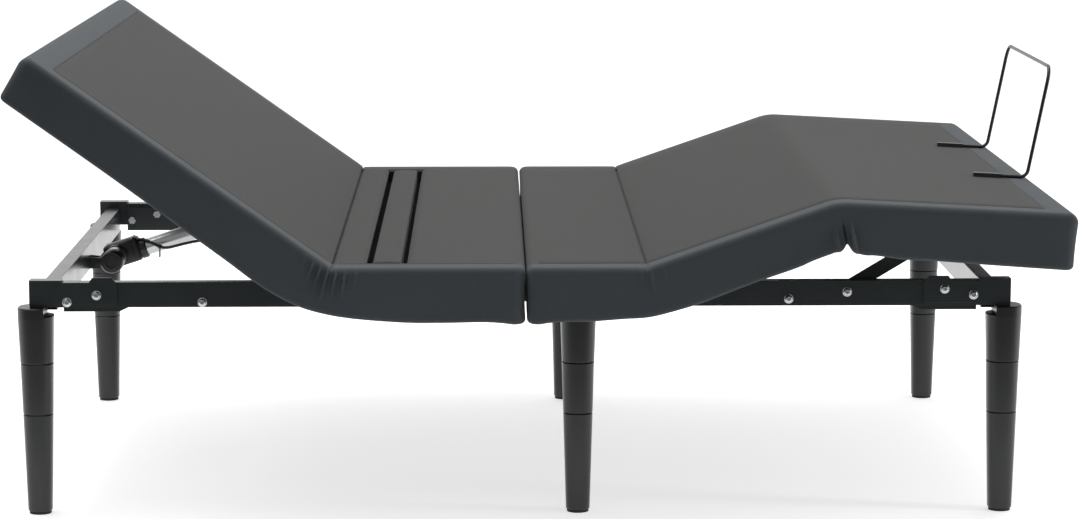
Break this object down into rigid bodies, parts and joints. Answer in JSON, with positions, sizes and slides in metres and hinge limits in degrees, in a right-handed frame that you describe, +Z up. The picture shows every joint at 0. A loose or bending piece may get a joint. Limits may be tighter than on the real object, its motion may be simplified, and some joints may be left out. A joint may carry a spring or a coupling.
{
  "type": "adjustable bed base",
  "caption": "Adjustable bed base on tapered legs, with motor-lifted head and thigh sections, a following foot section and a mattress retainer bar.",
  "frame": {"origin": "centre of the bounding box, on the floor", "axes": "+X from the head end to the foot end, +Z up; the side seen first is -Y"},
  "size_m": [1.982, 1.524, 0.8795],
  "materials": {
    "cover_fabric": "woven, matt",
    "side_fabric": "woven, matt",
    "board_wood": "plain board",
    "leg_plastic": "moulded, satin",
    "glide_rubber": "matt",
    "zinc_steel": "zinc plated",
    "nylon": "satin",
    "actuator_plastic": "satin",
    "motor_plastic": "satin",
    "rod_steel": "polished",
    "black_plastic": "satin",
    "bar_steel": "semi-gloss black",
    "black_steel": "semi-gloss black powder coat"
  },
  "bodies": {
    "base": {"actuator_cable": "black_plastic", "actuator_clevises": "black_steel", "cable_tie": "black_plastic", "control_box": "black_plastic", "corner_brackets": "black_steel", "fold_plates": "black_steel", "foot_cross_member": "black_steel", "foot_seat_board": "board_wood", "foot_seat_pad": "cover_fabric", "foot_seat_skirt": "side_fabric", "frame_bolts": "zinc_steel", "head_cross_member": "black_steel", "head_seat_board": "board_wood", "head_seat_pad": "cover_fabric", "head_seat_skirt": "side_fabric", "left_foot_rail": "black_steel", "left_head_rail": "black_steel", "leg_glides": "glide_rubber", "leg_studs": "zinc_steel", "lift_tube_bearings": "black_steel", "lower_leg_segments": "leg_plastic", "lumbar_slat": "cover_fabric", "middle_cross_member": "black_steel", "middle_leg_segments": "leg_plastic", "rail_gussets": "black_steel", "right_foot_rail": "black_steel", "right_head_rail": "black_steel", "seat_bearers": "black_steel", "seat_hinge_leaves": "black_steel", "upper_leg_segments": "leg_plastic"},
    "head_section": {"head_board": "board_wood", "head_pad": "cover_fabric", "head_skirt": "side_fabric", "head_hinge_leaves": "black_steel"},
    "thigh_section": {"thigh_board": "board_wood", "thigh_pad": "cover_fabric", "thigh_skirt": "side_fabric", "thigh_hinge_leaves": "black_steel"},
    "foot_section": {"foot_board": "board_wood", "foot_pad": "cover_fabric", "foot_skirt": "side_fabric", "foot_hinge_leaves": "black_steel", "foot_link_brackets": "black_steel", "retainer_bar": "bar_steel", "retainer_sockets": "black_plastic"},
    "head_lift": {"head_lift_tube": "black_steel", "head_lift_arms": "black_steel", "head_lift_lever": "black_steel"},
    "head_rollers": {"head_lift_rollers": "nylon"},
    "leg_lift": {"leg_lift_tube": "black_steel", "leg_lift_arms": "black_steel", "leg_lift_lever": "black_steel"},
    "leg_rollers": {"leg_lift_rollers": "nylon"},
    "head_actuator": {"head_actuator_housing": "actuator_plastic", "head_actuator_motor": "motor_plastic"},
    "head_rod": {"head_actuator_rod": "rod_steel"},
    "leg_actuator": {"leg_actuator_housing": "actuator_plastic", "leg_actuator_motor": "motor_plastic"},
    "leg_rod": {"leg_actuator_rod": "rod_steel"},
    "foot_link_pair": {"foot_links": "black_steel"}
  },
  "joints": [
    {"name": "head_tilt", "type": "hinge", "parent": "base", "child": "head_section", "pos_m": [-0.40474, 0, 0.447], "axis": [0, 1, 0], "range_deg": [-35.4, 24.6]},
    {"name": "thigh_tilt", "type": "hinge", "parent": "base", "child": "thigh_section", "pos_m": [0.18826, 0, 0.447], "axis": [0, -1, 0], "range_deg": [-19.1, 15.9]},
    {"name": "knee_fold", "type": "hinge", "parent": "thigh_section", "child": "foot_section", "pos_m": [0.52939, 0, 0.56513], "axis": [0, 1, 0], "range_deg": [-22.12, 18.42]},
    {"name": "head_lift_turn", "type": "hinge", "parent": "base", "child": "head_lift", "pos_m": [-0.40474, 0, 0.422], "axis": [0, 1, 0], "range_deg": [-34.14, 23.73]},
    {"name": "head_roller_spin", "type": "hinge", "parent": "head_lift", "child": "head_rollers", "pos_m": [-0.67191, 0, 0.6157], "axis": [0, 1, 0], "continuous": true},
    {"name": "leg_lift_turn", "type": "hinge", "parent": "base", "child": "leg_lift", "pos_m": [0.30126, 0, 0.422], "axis": [0, -1, 0], "range_deg": [-30.62, 25.49]},
    {"name": "leg_roller_spin", "type": "hinge", "parent": "leg_lift", "child": "leg_rollers", "pos_m": [0.44197, 0, 0.5174], "axis": [0, 1, 0], "continuous": true},
    {"name": "head_actuator_swing", "type": "hinge", "parent": "base", "child": "head_actuator", "pos_m": [-0.89874, 0, 0.392], "axis": [0, -1, 0], "range_deg": [-10.41, 7.24], "deforming": ["actuator_cable"]},
    {"name": "head_rod_slide", "type": "slide", "parent": "head_actuator", "child": "head_rod", "axis": [0.9514, 0, 0.308], "range_m": [-0.0715, 0.0498]},
    {"name": "leg_actuator_swing", "type": "hinge", "parent": "base", "child": "leg_actuator", "pos_m": [-0.00874, 0, 0.342], "axis": [0, -1, 0], "range_deg": [-0.1538, 0.1807]},
    {"name": "leg_rod_slide", "type": "slide", "parent": "leg_actuator", "child": "leg_rod", "axis": [0.9999, 0, 0.0113], "range_m": [-0.0432, 0.036]},
    {"name": "foot_link_swing", "type": "hinge", "parent": "base", "child": "foot_link_pair", "pos_m": [0.56226, 0, 0.419], "axis": [0, -1, 0], "range_deg": [-38.69, 32.21]}
  ],
  "couplings": [
    {"joint": "knee_fold", "follows": "thigh_tilt", "ratio": 1.1571},
    {"joint": "head_lift_turn", "follows": "head_tilt", "ratio": 0.96382},
    {"joint": "leg_lift_turn", "follows": "thigh_tilt", "ratio": 1.6019},
    {"joint": "head_actuator_swing", "follows": "head_tilt", "ratio": 0.29337},
    {"joint": "head_rod_slide", "follows": "head_tilt", "m_per_rad": 0.11542},
    {"joint": "leg_actuator_swing", "follows": "thigh_tilt", "ratio": -0.008415},
    {"joint": "leg_rod_slide", "follows": "thigh_tilt", "m_per_rad": 0.12884},
    {"joint": "foot_link_swing", "follows": "thigh_tilt", "ratio": 2.0244}
  ]
}
